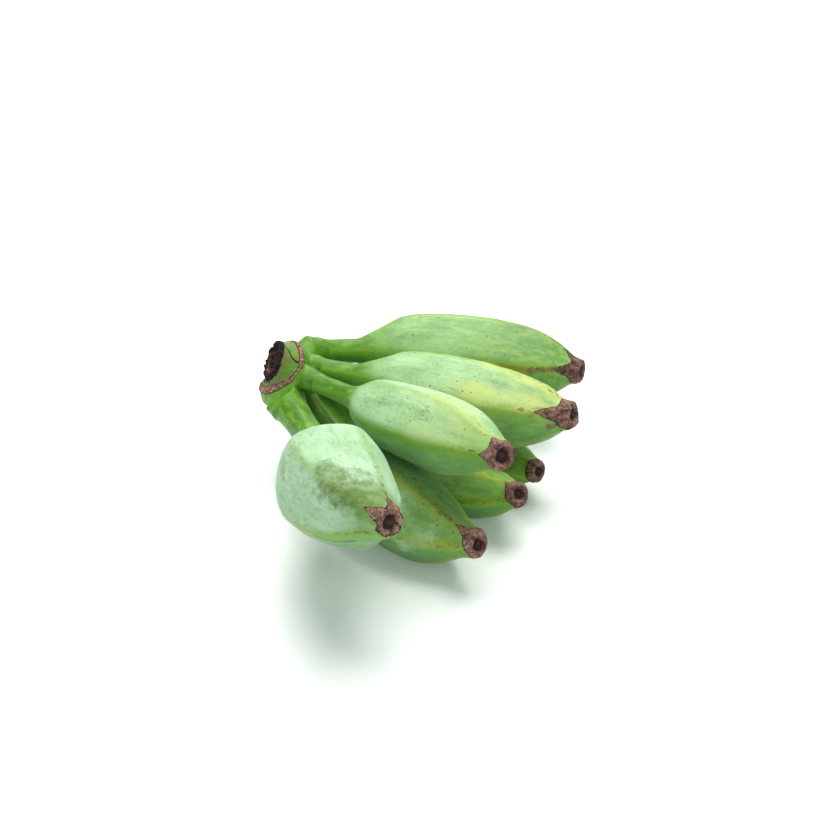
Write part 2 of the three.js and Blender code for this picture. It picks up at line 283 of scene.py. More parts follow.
def grid_faces(rings, sides):
    """Quads between rings, and a fan's worth of triangles at each end's own middle point."""
    ring, side = np.meshgrid(np.arange(rings - 1), np.arange(sides), indexing="ij")
    a = (ring * sides + side).ravel()
    b = (ring * sides + (side + 1) % sides).ravel()
    quads = np.stack((a, b, b + sides, a + sides), axis=1).tolist()
    first, last, top = rings * sides, rings * sides + 1, (rings - 1) * sides
    for k in range(sides):
        following = (k + 1) % sides
        quads.append((first, following, k))
        quads.append((last, top + k, top + following))
    return quads


def make_object(name, points, faces, floats=None, vectors=None):
    """A smooth mesh object from points in mm, with named values at its points."""
    mesh = bpy.data.meshes.new(name)
    mesh.from_pydata((points * MM).tolist(), [], faces)
    for key, values in (floats or {}).items():
        layer = mesh.attributes.new(key, "FLOAT", "POINT")
        layer.data.foreach_set("value", np.ascontiguousarray(values, np.float32))
    for key, values in (vectors or {}).items():
        layer = mesh.attributes.new(key, "FLOAT_VECTOR", "POINT")
        layer.data.foreach_set("vector", np.ascontiguousarray(values, np.float32).ravel())
    mesh.shade_smooth()
    made = bpy.data.objects.new(name, mesh)
    bpy.context.scene.collection.objects.link(made)
    return made


def with_ends(grid):
    """The grid's values as one row, followed by the mean of its first and last ring."""
    flat = grid.reshape(-1, *grid.shape[2:])
    return np.concatenate((flat, grid[:1].mean(axis=1), grid[-1:].mean(axis=1)))


def finger_rings(finger):
    """The finger's own rings: places along it, centres, directions and radii."""
    t = np.linspace(ROOT_SHARE - SKIN_OVERLAP, 1, STEPS)
    centres = middles_at(finger, t)
    directions = direction_at(finger, t)
    radii = radius_at(finger, t)
    tip = points_at(finger, np.array([1.0]))
    heading = direction_at(finger, np.array([1.0]))
    past, share = np.array(BLOSSOM_END).T
    centres = np.vstack((centres, tip + heading * past[:, None]))
    directions = np.vstack((directions, np.repeat(heading, len(past), axis=0)))
    radii = np.concatenate((radii, finger["end"] * share))
    t = np.concatenate((t, 1 + past / finger["length"]))
    return t, centres, directions, radii


def cork_depth(finger, t, radii, angles):
    """How far inside the corky cap each point is, in mm, and below 0 outside it."""
    half_face = math.pi / RIDGES
    reach = np.array(CORK[finger["name"]])
    ridge = np.round(angles / (2 * half_face)).astype(int) % RIDGES
    face = np.floor(angles / (2 * half_face)).astype(int) % RIDGES
    at_ridge, at_face = reach[2 * ridge], reach[2 * face + 1]
    share = (1 - from_ridge(angles) / half_face) ** CORK_POINTING
    back = np.where(t > 1, radii - finger["end"], (1 - t) * finger["length"])[:, None]
    return (at_face + (at_ridge - at_face) * share)[None, :] - back


def below_front(angles):
    """How far round from the front ridge, in radians: above 0 on the side under it."""
    front = FRONT_RIDGE * 2 * math.pi / RIDGES
    return (angles - front + math.pi) % (2 * math.pi) - math.pi


def around(directions, angles):
    """Unit vectors outwards from a line at angles round it, as a grid of rings and sides."""
    side, up = square_to(directions)
    return (side[:, None, :] * np.cos(angles)[None, :, None]
            + up[:, None, :] * np.sin(angles)[None, :, None])


def with_relief(finger, t, points, outward, directions, cork):
    """The points moved by the skin's waves, the cork's wrinkles and lip, and the gnarled end."""
    seed = finger["length"] * SEED_SHARE
    swell = ease(0.2, 0.45, common_place(finger, np.minimum(t, 1)))[:, None]
    moved = swell * relief_at(points, WAVES, seed) + relief_at(points, RIPPLES, seed)
    moved = moved + ease(-1, 2, cork) * relief_at(points, CORK_WRINKLES, seed)
    moved = moved + CORK_LIP * ease(-0.6, 0.4, cork) * (t < 1)[:, None]
    moved = moved + ease(0.955, 1.0, t)[:, None] * relief_at(points, END_GNARLS, seed + 3)
    points = points + outward * moved[:, :, None]
    along = (t > 1)[:, None] * relief_at(points, END_BUMPS, seed + 5)
    return points + directions[:, None, :] * along[:, :, None]


def make_finger(finger):
    """One finger as a fine closed skin with the values that its material needs."""
    t, centres, directions, radii = finger_rings(finger)
    angles = np.arange(SIDES) * 2 * math.pi / SIDES
    outward = around(directions, angles + math.radians(finger["roll"]))
    body = np.minimum(t, 1)
    strength = finger["ridge"] * smooth_through(RIDGE_SHARE, body) * (t <= 1)
    reach = radii[:, None] * (1 + strength[:, None] * ridge_at(angles)[None, :])
    points = centres[:, None, :] + outward * reach[:, :, None]
    cork = cork_depth(finger, t, radii, angles)
    points = with_relief(finger, t, points, outward, directions, cork) - UNDERSIDE_MIDDLE
    points[:, :, 2] = np.maximum(points[:, :, 2], 0)

    every = np.ones(SIDES)
    end_share = np.where(t > 1, radii / finger["end"], 1.0)[:, None] * every
    straight = np.stack(((t * finger["length"])[:, None] * every,
                         radii[:, None] * np.cos(angles), radii[:, None] * np.sin(angles)), axis=-1)
    floats = {
        "place": with_ends(common_place(finger, body)[:, None] * every),
        "ridge": with_ends(radii[:, None] * from_ridge(angles)[None, :]),
        "below": with_ends(radii[:, None] * below_front(angles)[None, :]),
        "cork": with_ends(cork),
        "disc": with_ends(1 - end_share / DISC_SHARE),
    }
    skin = with_ends(straight) * MM
    return make_object("skin_" + finger["name"], with_ends(points),
                       grid_faces(len(t), SIDES), floats, {"skin": skin})


def srgb(red, green, blue):
    """A colour of 0 to 255 as the linear values that shaders take."""
    scaled = [c / 255 for c in (red, green, blue)]
    return tuple(c / 12.92 if c <= 0.04045 else ((c + 0.055) / 1.055) ** 2.4
                 for c in scaled) + (1.0,)


SHEEN_LEVEL = 0.2  # how strongly every surface mirrors, against 0.5 for plain plastic


class Shader:
    """A material with short calls for the nodes that its look is built from."""

    def __init__(self, name):
        self.material = bpy.data.materials.new(name)
        self.material.use_nodes = True
        self.tree = self.material.node_tree
        self.surface = self.tree.nodes["Principled BSDF"]

    def node(self, kind, inputs=None, **settings):
        made = self.tree.nodes.new(kind)
        for key, value in settings.items():
            setattr(made, key, value)
        for key, value in (inputs or {}).items():
            self.put(made.inputs[key], value)
        return made

    def put(self, socket, value):
        if isinstance(value, bpy.types.NodeSocket):
            self.tree.links.new(value, socket)
        else:
            socket.default_value = value

    def attribute(self, name, output="Fac"):
        return self.node("ShaderNodeAttribute", attribute_name=name).outputs[output]

    def place(self):
        return self.node("ShaderNodeTexCoord").outputs["Object"]

    def stretched(self, vector, scale):
        made = self.node("ShaderNodeMapping", {"Vector": vector, "Scale": scale})
        return made.outputs["Vector"]

    def noise(self, vector, size, detail=2.0, rough=0.5, warp=0.0):
        """Noise whose features are about size mm across."""
        made = self.node("ShaderNodeTexNoise", {
            "Vector": vector, "Scale": 1 / (size * MM), "Detail": detail, "Roughness": rough,
            "Distortion": warp})
        return made.outputs["Fac"]

    def cells(self, vector, size, output="Distance"):
        made = self.node("ShaderNodeTexVoronoi", {"Vector": vector, "Scale": 1 / (size * MM)})
        return made.outputs[output]

    def maths(self, operation, *values):
        made = self.node("ShaderNodeMath", operation=operation)
        for socket, value in zip(made.inputs, values):
            self.put(socket, value)
        return made.outputs["Value"]

    def ease(self, value, low, high, start=0.0, end=1.0):
        """From start below low to end above high, smooth between."""
        made = self.node("ShaderNodeMapRange", {
            "Value": value, "From Min": low, "From Max": high, "To Min": start, "To Max": end},
            interpolation_type="SMOOTHSTEP")
        return made.outputs["Result"]

    def times(self, *values):
        product = values[0]
        for value in values[1:]:
            product = self.maths("MULTIPLY", product, value)
        return product

    def plus(self, *values):
        total = values[0]
        for value in values[1:]:
            total = self.maths("ADD", total, value)
        return total

    def vectors(self, operation, first, second, output="Vector"):
        made = self.node("ShaderNodeVectorMath", operation=operation)
        self.put(made.inputs[0], first)
        self.put(made.inputs[1], second)
        return made.outputs[output]

    def from_line(self, where, start, end):
        """Distance in mm to a straight line between two places in mm."""
        start, span = Vector(start) * MM, (Vector(end) - Vector(start)) * MM
        away = self.vectors("SUBTRACT", where, start)
        along = self.vectors("DOT_PRODUCT", away, span / span.length_squared, "Value")
        share = self.maths("MINIMUM", self.maths("MAXIMUM", along, 0.0), 1.0)
        nearest = self.vectors("MULTIPLY", share, span)
        return self.times(self.vectors("DISTANCE", away, nearest, "Value"), 1 / MM)

    def mix(self, factor, first, second):
        made = self.node("ShaderNodeMix", data_type="RGBA")
        self.put(made.inputs[0], factor)
        self.put(made.inputs[6], first)
        self.put(made.inputs[7], second)
        return made.outputs[2]

    def finish(self, colour, roughness, height, depth):
        """Colour, roughness and a relief of the given depth in mm."""
        bump = self.node("ShaderNodeBump", {"Height": height, "Distance": depth * MM,
                                            "Strength": 1.0})
        self.put(self.surface.inputs["Base Color"], colour)
        self.put(self.surface.inputs["Roughness"], roughness)
        self.surface.inputs["Specular IOR Level"].default_value = SHEEN_LEVEL
        self.put(self.surface.inputs["Normal"], bump.outputs["Normal"])
        return self.material


# Colours of the skin.
DEEP_GREEN = srgb(64, 110, 28)
GREEN = srgb(98, 150, 44)
FRESH_GREEN = srgb(122, 174, 54)
MINT = srgb(180, 214, 160)
COOL_MINT = srgb(176, 210, 184)
YELLOW = srgb(192, 206, 122)
GOLD = srgb(150, 166, 62)
# Painted shade: the deeper green laid on undersides that point down.
UNDERSIDE_SHADE_GREEN = srgb(74, 126, 70)
OLIVE = srgb(92, 118, 50)
SPECK = srgb(44, 40, 24)
CORK_DARK = srgb(44, 30, 28)
CORK_MID = srgb(112, 78, 67)
CORK_PALE = srgb(176, 139, 120)
CUT_DARK = srgb(28, 19, 22)
CUT_BROWN = srgb(96, 62, 58)
CUT_PALE = srgb(156, 112, 104)
STAIN = srgb(112, 112, 66)
STUB_GREEN = srgb(118, 160, 72)
RUST = srgb(150, 104, 52)
MARK_COLOURS = {"olive": OLIVE, "cork": CORK_MID, "rust": RUST, "mint": COOL_MINT}


def green_skin(s, where, depth):
    """The unripe green under the bloom, mottled over a few millimetres."""
    broad = s.noise(where, 14, 3, 0.55)
    fine = s.noise(where, 3.2, 3, 0.6, 0.4)
    dark = s.ease(s.plus(s.times(broad, 0.6), s.times(fine, 0.4)), 0.28, 0.7)
    lively = s.mix(dark, DEEP_GREEN, GREEN)
    return s.mix(s.times(s.ease(fine, 0.42, 0.7), 1 - depth), lively, FRESH_GREEN)


def specks(s, where, size, share, reach):
    """Sparse round dark specks, at most one a cell."""
    distance = s.cells(where, size)
    chance = s.cells(where, size, "Color")
    some = s.maths("GREATER_THAN", chance, 1 - share)
    return s.times(s.ease(distance, reach, reach * 0.5), some)


def cork_colour(s, where, depth_in):
    """Dried cork: pale and dark brown streaks, and nearly black along its ragged edge."""
    streaks = s.noise(where, 2.2, 5, 0.7, 0.8)
    brown = s.mix(s.ease(streaks, 0.36, 0.6), CORK_MID, CORK_PALE)
    cracks = s.ease(s.noise(where, 1.5, 4, 0.75, 1.2), 0.52, 0.62)
    brown = s.mix(s.times(cracks, 0.9), brown, CORK_DARK)
    patches = s.ease(s.noise(where, 4, 3, 0.6), 0.46, 0.62)
    brown = s.mix(s.times(patches, 0.55), brown, CORK_DARK)
    return s.mix(s.times(s.ease(depth_in, 1.1, 0.2), 0.9), brown, CORK_DARK)


def bloom_on(s, look, where, streaked, normal_z, band):
    """How much pale wax lies on the skin, thinned on faces that point down as painted shade."""
    place, ridge, below = s.attribute("place"), s.attribute("ridge"), s.attribute("below")
    patches = s.plus(s.times(s.noise(streaked, 13, 3, 0.55, 0.4), 0.45),
                     s.times(s.noise(streaked, 3, 4, 0.65, 0.5), 0.25),
                     s.times(s.noise(where, 1.2, 4, 0.7), 0.3))
    kept = s.ease(ridge, 0.2, 3, 0.65, 1)
    under = s.times(s.ease(below, -1, 2), s.ease(below, 45, 25))
    not_under = s.ease(under, 0, 1, 1, look["under"])
    cover = s.ease(patches, 0.34, 0.6, 0.5, 1)
    thinning = s.ease(place, look["fade"], 0.97, 1, 0.35)
    # Painted shade: less pale wax where the surface points down, so undersides read darker.
    downward_shade = s.ease(normal_z, -0.7, 0.35, 0.35, 1)
    in_band = s.maths("SUBTRACT", 1.0, s.times(band, 0.75))
    on_body = s.ease(place, 0.24, 0.38)
    return s.times(cover, look["bloom"], on_body, kept, thinning, downward_shade, in_band, not_under)


def with_yellow_and_highlight(s, colour, look, where, streaked, upper):
    """Yellow on the upper faces, partly real yellowing and partly a painted highlight, and gold
    along the worn ridges.
    """
    place, ridge = s.attribute("place"), s.attribute("ridge")
    # The yellow is held to faces that point up: real yellowing with a painted highlight.
    warm = s.times(s.ease(place, 0.5, 0.7), s.ease(s.noise(streaked, 16, 2), 0.4, 0.62), upper,
                   look["yellow"])
    colour = s.mix(warm, colour, YELLOW)
    worn = s.times(s.ease(ridge, 4.2, 0.6), s.ease(place, 0.36, 0.5),
                   s.ease(s.noise(where, 4, 5, 0.7), 0.34, 0.56), look["worn"])
    return s.mix(worn, colour, GOLD)


def with_spots(s, colour, look, where, streaked):
    """Mottling, smudges, flecks near the ridges and specks of three sizes."""
    place, ridge, cork = s.attribute("place"), s.attribute("ridge"), s.attribute("cork")
    mottled = s.times(s.ease(s.noise(where, 1.5, 5, 0.75), 0.5, 0.64),
                      s.ease(s.noise(where, 13, 2), 0.38, 0.58), 0.2 + 0.3 * look["worn"])
    colour = s.mix(mottled, colour, GREEN)
    smudge = s.times(s.ease(s.noise(streaked, 1.8, 4, 0.7), 0.53, 0.66),
                     s.ease(s.noise(where, 9, 2), 0.42, 0.6), 0.35 + 0.35 * look["worn"])
    colour = s.mix(smudge, colour, OLIVE)
    flecks = s.times(s.ease(s.noise(streaked, 1.3, 3, 0.6), 0.55, 0.62), s.ease(ridge, 3.2, 0.6),
                     s.ease(cork, -26, -3))
    colour = s.mix(s.times(flecks, 0.85), colour, CORK_MID)
    dots = s.plus(specks(s, where, 5.5, 0.4, 0.1),
                  specks(s, where, 2.4, 0.1 + 0.3 * look["worn"], 0.2))
    colour = s.mix(s.times(dots, 0.75), colour, SPECK)
    pepper = s.times(specks(s, where, 1.1, 0.35, 0.24), s.ease(place, 0.45, 0.7),
                     s.ease(s.noise(where, 7, 3, 0.6), 0.42, 0.56), look["worn"])
    return s.mix(s.times(pepper, 0.8), colour, CORK_DARK)


def with_marks(s, colour, name, where):
    """The finger's own rubs and scratches, frayed and patchy."""
    for owner, start, end, reach, paint, strength in MARKS:
        if owner == name:
            frayed = s.times(s.plus(s.noise(where, reach * 0.7, 4, 0.65), -0.5), reach * 2.2)
            near = s.plus(s.from_line(where, start, end), frayed)
            patchy = s.ease(s.noise(where, 3.2, 5, 0.7), 0.38, 0.6, 0.55, 1)
            inside = s.times(s.ease(near, reach, reach * 0.3), patchy, strength)
            colour = s.mix(inside, colour, MARK_COLOURS[paint])
    return colour


def cork_cap(s, look, where, skin):
    """Where the ragged cap of cork is, and its colour with the dark scar in its end."""
    ragged = s.plus(s.attribute("cork"),
                    s.times(s.plus(s.noise(where, 1.6, 4, 0.7), -0.5), 3.0))
    along = s.stretched(skin, (0.45, 1, 1))
    brown = s.mix(look["dried"], cork_colour(s, along, ragged), CORK_DARK)
    disc = s.plus(s.attribute("disc"), s.times(s.plus(s.noise(where, 0.9, 3), -0.5), 0.5))
    brown = s.mix(s.times(s.ease(disc, -0.1, 0.2), 0.9), brown, CORK_DARK)
    brown = s.mix(s.times(s.ease(disc, 0.8, 0.95), 0.3), brown, CORK_PALE)
    return s.ease(ragged, -0.2, 0.2), brown


def peel(finger):
    """Skin of one finger: waxy bloom over green with painted shade on the undersides and a painted
    highlight in the yellow on top, wear, and the corky cap with its scar.
    """
    name = finger["name"]
    look = LOOKS[name]
    s = Shader("peel_" + name)
    where, skin, below = s.place(), s.attribute("skin", "Vector"), s.attribute("below")
    streaked = s.stretched(skin, (0.3, 1, 1))
    normal = s.node("ShaderNodeNewGeometry").outputs["Normal"]
    normal_z = s.node("ShaderNodeSeparateXYZ", {"Vector": normal}).outputs["Z"]
    band = s.times(s.ease(below, -3.5, 0.5), s.ease(below, 6.5, 1.5))

    colour = green_skin(s, streaked, look["depth"])
    # Painted shade: undersides that point down are darkened towards a deeper green.
    colour = s.mix(s.ease(normal_z, 0.2, -0.6, 0, 0.6), colour, UNDERSIDE_SHADE_GREEN)
    colour = s.mix(s.times(band, 0.6), colour, FRESH_GREEN)
    bloom = bloom_on(s, look, where, streaked, normal_z, band)
    wax = s.mix(look["cool"], MINT, COOL_MINT)
    colour = s.mix(bloom, colour, wax)
    colour = with_yellow_and_highlight(s, colour, look, where, streaked, s.ease(normal_z, -0.1, 0.7))
    colour = with_spots(s, colour, look, where, streaked)
    colour = with_marks(s, colour, name, where)
    is_cork, brown = cork_cap(s, look, where, skin)
    colour = s.mix(is_cork, colour, brown)

    waxy = s.ease(bloom, 0, 1, 0.42, 0.6)
    rough = s.plus(s.times(waxy, s.maths("SUBTRACT", 1.0, is_cork)), s.times(is_cork, 0.85))
    relief = s.plus(s.times(s.noise(where, 0.9, 4, 0.6), s.ease(is_cork, 0, 1, 0.15, 1)),
                    s.times(s.noise(streaked, 3, 3), 0.3))
    return s.finish(colour, rough, relief, 0.35)


def link_piece(piece, nodes, material):
    """Gives a piece its material, puts it under the root body and hides the solids that it stands
    for.
    """
    piece.data.materials.append(material)
    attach(piece, "root")
    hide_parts(*nodes)


def make_fingers():
    for finger in FINGERS:
        piece = make_finger(finger)
        link_piece(piece, [finger["name"]], peel(finger))


# The crown: distance along its axis from the scar ring, radius, and how far the section tips
# towards the plane of the cut.
CROWN_SECTIONS = [(-17, 7, 0), (-14, 9.8, 0), (-11, 12, 0), (-8, 13, 0), (-5, 13.4, 0),
                  (-2.5, 13.7, 0), (-0.5, 13.9, 0), (0.6, 13.5, 0), (1.4, 12.9, 0.15),
                  (2.3, 12, 0.4), (3.4, 11.2, 0.7), (4.5, 10.6, 0.9), (5.6, 10.1, 1),
                  (6.3, 9.4, 1), (6.4, 8.6, 1), (5.4, 7.2, 1), (4.2, 5.6, 1), (3.7, 4, 1),
                  (4, 2, 1)]
# How much further out than round the crown is at angles round it, and what share of that it has
# at distances along its axis: it swells below the ring.
CROWN_SPREAD = [(0, 0), (225, 0), (245, 1.4), (268, 3.4), (290, 3.3), (310, 2.3), (330, 0.9),
                (350, 0), (360, 0)]
CROWN_SWELL = [(-17, 0), (-11, 2.2), (-7.5, 2.5), (-4.6, 2.2), (-3, 1.75), (-0.8, 1), (0.4, 0.45),
               (1.4, 0)]
RING_SWELL = 0.6
# The scar ring isn't level: how far it stands above its plane at angles round the crown.
RING_LEVEL = [(0, -2.8), (30, -3.6), (45, -3), (65, -1.4), (90, 0), (150, 0), (190, -2),
              (238, -2.4), (264, 0.3), (300, 0.9), (330, -0.7), (360, -2.8)]
RING_RADIUS = 14
RING_HALF_WIDTH = 1.5
RING_DEPTH = 1.2  # how far the ring's brown reaches inwards from its radius
RING_HEIGHT = 0.75
RING_LUMPS = (0.35, 1.5)  # share of that height, size in mm
RING_WANDER = (0.35, 5)  # how far it wanders off its level, size, both in mm
# Where the stub is hollowed by the slanting cut: angle, spread (degrees) and depth (mm).
CUT_NOTCH = (215, 68, 1.2)
# The torn face starts this far out along the cut's direction, and ends this far from the
# crown's axis, in mm. The hollow in it starts nearer and has this radius.
CUT_FROM = 4.3
CUT_REACH = 11.5
HOLLOW_FROM = 1.6
HOLLOW_RADIUS = 8.6
# One side is torn further down: its middle and reach in degrees, and its start above the ring.
TORN_SIDE = (210, 45)
TORN_FROM = 2.2
# How far the edge of the tear wanders, and the size of its teeth, in mm.
CUT_RAGGED = (0.6, 2.6)
# Relief of the crown: (height, size of its features), in mm.
CUT_LUMPS = (0.9, 2.2)
CUT_GRAIN = (0.5, 0.9)
STEM_WAVES = (0.2, 4)
CREASE_DEPTH = 0.45
# The dark crease in the stub, from the cut down to the ring: (along, angle).
CREASE = [(0, 38), (2, 44), (4, 56), (6, 68)]
# The stalks' roots start under the ring: how steeply their tops may rise outwards from it, at
# angles round the crown.
ROOT_RISE = [(0, 0.25), (30, 0.5), (100, 0.5), (150, 0.2), (250, 0), (335, 0), (360, 0.25)]
ROOT_TUCK = 0.9  # how far under the ring's middle the roots stay, in mm
TUCK_SOFTNESS = 0.6  # over how many mm the tuck sets in
# How thick the root is against the stalk's own radius, at shares of the finger's length.
ROOT_PROFILE = [(0, 1), (0.008, 1), (0.016, 1), (0.024, 1.02), (0.032, 1.05), (0.04, 1.08),
                (0.048, 1.08), (0.055, 1.05), (0.062, 1.02), (0.07, 0.99), (0.077, 0.9),
                (0.083, 0.7)]
ROOT_FREE = (0.025, 0.052)  # shares of the finger's length over which the root comes free
# A root starts this far along the crown's axis, this share of the way out to the finger's root,
# and this much thicker than the stalk, with this many rings inside the crown.
ROOT_DEPTH = -11
ROOT_INSET = 0.35
ROOT_FLARE = 1.4
ROOT_INNER = 4
# How finely the crown is divided, in mm and rounds of smoothing after it has grown together.
ROOT_SIDES = 48
CROWN_SIDES = 90
CROWN_VOXEL = 0.5
CROWN_SMOOTHING = 8


def ring_of(centre, direction, radii, sides):
    """Points of one ring round a centre."""
    angles = np.arange(sides) * 2 * math.pi / sides
    side, up = square_to(direction[None, :])
    outward = side * np.cos(angles)[:, None] + up * np.sin(angles)[:, None]
    return centre + outward * np.broadcast_to(radii, sides)[:, None]


def tube(centres, directions, radii, sides):
    """A closed tube through rings."""
    rings = [ring_of(c, d, r, sides) for c, d, r in zip(centres, directions, radii)]
    grid = np.array(rings)
    return with_ends(grid), grid_faces(len(rings), sides)


def round_crown(points):
    """Distance along the crown's axis, distance out from it and angle round it, in degrees."""
    axis = unit(CROWN_AXIS)
    side, up = square_to(axis[None, :])
    away = points - SCAR_CENTRE
    along = away @ axis
    across, above = away @ side[0], away @ up[0]
    return along, np.hypot(across, above), np.degrees(np.arctan2(above, across)) % 360


def ring_radius(degrees):
    """The scar ring's radius at angles round the crown."""
    return RING_RADIUS + RING_SWELL * smooth_through(CROWN_SPREAD, degrees)


def tucked(points, hold):
    """Points moved down the crown's axis, so that they stay under the scar ring."""
    along, out, degrees = round_crown(points)
    rise = smooth_through(ROOT_RISE, degrees) * np.maximum(out - ring_radius(degrees) - 1, 0)
    over = along - (smooth_through(RING_LEVEL, degrees) - ROOT_TUCK + rise)
    down = (over + np.sqrt(over ** 2 + TUCK_SOFTNESS ** 2)) / 2 * hold
    return points - unit(CROWN_AXIS) * down[..., None]


def root_tube(finger):
    """The root of a finger's stalk: from inside the crown to just inside the finger."""
    axis = unit(CROWN_AXIS)
    root = np.array(finger["root"], float)
    outward = root - SCAR_CENTRE
    outward = outward - axis * outward.dot(axis)
    inside = SCAR_CENTRE + axis * ROOT_DEPTH + outward * ROOT_INSET
    t, thickness = np.array(ROOT_PROFILE).T
    own = points_at(finger, t)
    shares = np.linspace(0, 1, ROOT_INNER + 1)[:-1, None]
    centres = np.vstack((inside * (1 - shares) + own[0] * shares, own))
    radii = np.concatenate((np.full(ROOT_INNER, ROOT_FLARE * finger["stalk"]),
                            radius_at(finger, t) * thickness))
    start = unit(own[0] - inside)
    towards = np.vstack((np.repeat(start[None, :], ROOT_INNER, axis=0), direction_at(finger, t)))
    points, faces = tube(centres, towards, radii, ROOT_SIDES)
    hold = np.concatenate((np.ones(ROOT_INNER), 1 - ease(*ROOT_FREE, t)))
    hold = np.concatenate((np.repeat(hold, ROOT_SIDES), (1, 0)))
    return tucked(points, hold), faces


def crown_body():
    """The crown's own body, from where the roots meet to the hollow cut end."""
    axis, cut = unit(CROWN_AXIS), unit(CUT_AXIS)
    along, radii, tips = np.array(CROWN_SECTIONS, float).T
    centres = SCAR_CENTRE + axis * along[:, None]
    towards = unit(axis * (1 - tips[:, None]) + cut * tips[:, None])
    degrees = np.arange(CROWN_SIDES) * 360 / CROWN_SIDES
    middle, spread, depth = CUT_NOTCH
    notch = depth * np.exp(-((degrees - middle) / spread) ** 2)
    shares = (np.minimum(tips * 2, 1) * np.minimum(radii / radii[tips == 1].max(), 1))[:, None]
    swell = smooth_through(CROWN_SWELL, along)[:, None] * smooth_through(CROWN_SPREAD, degrees)
    swollen = radii[:, None] + swell
    points, faces = tube(centres, towards, swollen - notch * shares, CROWN_SIDES)
    follow = ease(-9, -3, along) * (1 - tips)
    wave = follow[:, None] * smooth_through(RING_LEVEL, degrees)
    wave = np.concatenate((wave.ravel(), (0, 0)))
    return points + axis * wave[:, None], faces


def joined(parts):
    """Several (points, faces) as one."""
    points, faces, start = [], [], 0
    for own_points, own_faces in parts:
        points.append(own_points)
        faces += [tuple(i + start for i in face) for face in own_faces]
        start += len(own_points)
    return np.vstack(points), faces


def grown_together(name, parts, voxel, smoothing):
    """The parts' outer skin as one evenly divided mesh with softened valleys, in mm."""
    rough = make_object(name, *joined(parts))
    remesh = rough.modifiers.new("grow", "REMESH")
    remesh.mode = "VOXEL"
    remesh.voxel_size = voxel * MM
    smooth = rough.modifiers.new("soften", "SMOOTH")
    smooth.factor = 0.5
    smooth.iterations = smoothing
    evaluated = rough.evaluated_get(bpy.context.evaluated_depsgraph_get())
    mesh = evaluated.to_mesh()
    points = np.empty(len(mesh.vertices) * 3, np.float32)
    normals = np.empty(len(mesh.vertices) * 3, np.float32)
    mesh.vertices.foreach_get("co", points)
    mesh.vertices.foreach_get("normal", normals)
    faces = [tuple(p.vertices) for p in mesh.polygons]
    evaluated.to_mesh_clear()
    bpy.data.objects.remove(rough)
    return points.reshape(-1, 3) / MM, normals.reshape(-1, 3), faces


def cut_depth_at(points, out):
    """How far inside the torn cut each point is, in mm, and below 0 outside it."""
    away, cut = points - SCAR_CENTRE, unit(CUT_AXIS)
    along_cut = away @ cut
    off_cut = np.linalg.norm(away - along_cut[:, None] * cut, axis=1)
    rim = np.minimum(along_cut - CUT_FROM, (CUT_REACH - out) * 0.8)
    hollow = np.minimum(HOLLOW_RADIUS - off_cut, along_cut - HOLLOW_FROM)
    along, _, degrees = round_crown(points)
    torn = np.minimum(along - TORN_FROM, (TORN_SIDE[1] - np.abs(degrees - TORN_SIDE[0])) * 0.1)
    depth = np.maximum(np.maximum(rim, hollow), torn)
    return depth + relief_at(points, CUT_RAGGED, 8.0)


def inside_ring(out, level, reach):
    """How far inside the scar ring's band each point is, in mm, and below 0 outside it."""
    aside = np.maximum(np.maximum(reach - out - RING_DEPTH, out - reach), 0)
    return RING_HALF_WIDTH - np.hypot(level, aside)


def crown_relief(points, in_ring, crease, cut_depth):
    """How far the skin stands out at each point, in mm: ring, torn cut, crease and waves."""
    is_cut = ease(-0.5, 0.6, cut_depth)
    ring = RING_HEIGHT * ease(-0.4, 0.5, in_ring) * (1 + relief_at(points, RING_LUMPS, 6.0))
    torn = relief_at(points, CUT_LUMPS, 5.0) + relief_at(points, CUT_GRAIN, 5.0)
    groove = CREASE_DEPTH * ease(0.9, 0.2, crease)
    return ring + is_cut * torn - (1 - is_cut) * groove + relief_at(points, STEM_WAVES, 7.0)


def make_crown():
    """The crown as one grown skin with the values that its material needs."""
    parts = [crown_body()] + [root_tube(finger) for finger in FINGERS]
    points, normals, faces = grown_together("crown_parts", parts, CROWN_VOXEL, CROWN_SMOOTHING)
    along, out, degrees = round_crown(points)
    level = along - smooth_through(RING_LEVEL, degrees) - relief_at(points, RING_WANDER, 3.0)
    reach = ring_radius(degrees)
    in_ring = inside_ring(out, level, reach)

    stub = ease(0.3, 1.3, level) * ease(1.5, 0, out - reach)
    crease = np.abs(degrees - smooth_through(CREASE, along)) * np.radians(out)
    crease = np.where(stub > 0.5, crease, 9)
    cut_depth = cut_depth_at(points, out)
    relief = crown_relief(points, in_ring, crease, cut_depth)
    points = points + normals * relief[:, None] - UNDERSIDE_MIDDLE
    floats = {"ring": in_ring, "cut": cut_depth, "stub": stub, "crease": crease}
    piece = make_object("crown_skin", points, faces, floats)
    link_piece(piece, ["crown"], crown_material())


def stem_colour(s, where):
    """Green stem tissue, with the stub above the ring stained, rusty and creased."""
    stub, cut, crease = s.attribute("stub"), s.attribute("cut"), s.attribute("crease")
    colour = s.mix(s.times(stub, 0.45), green_skin(s, where, 0.75), STUB_GREEN)
    stain = s.times(stub, s.ease(s.noise(where, 4.5, 4, 0.65), 0.42, 0.62), 0.85)
    colour = s.mix(stain, colour, STAIN)
    warm = s.times(stub, s.ease(s.noise(where, 3.4, 2), 0.58, 0.72), 0.7)
    colour = s.mix(warm, colour, RUST)
    colour = s.mix(s.times(stub, s.ease(cut, -3.2, -0.6), 0.6), colour, STAIN)
    colour = s.mix(s.times(specks(s, where, 2.8, 0.35, 0.2), 0.75), colour, SPECK)
    return s.mix(s.times(s.ease(crease, 0.75, 0.25), 0.9), colour, CUT_DARK)


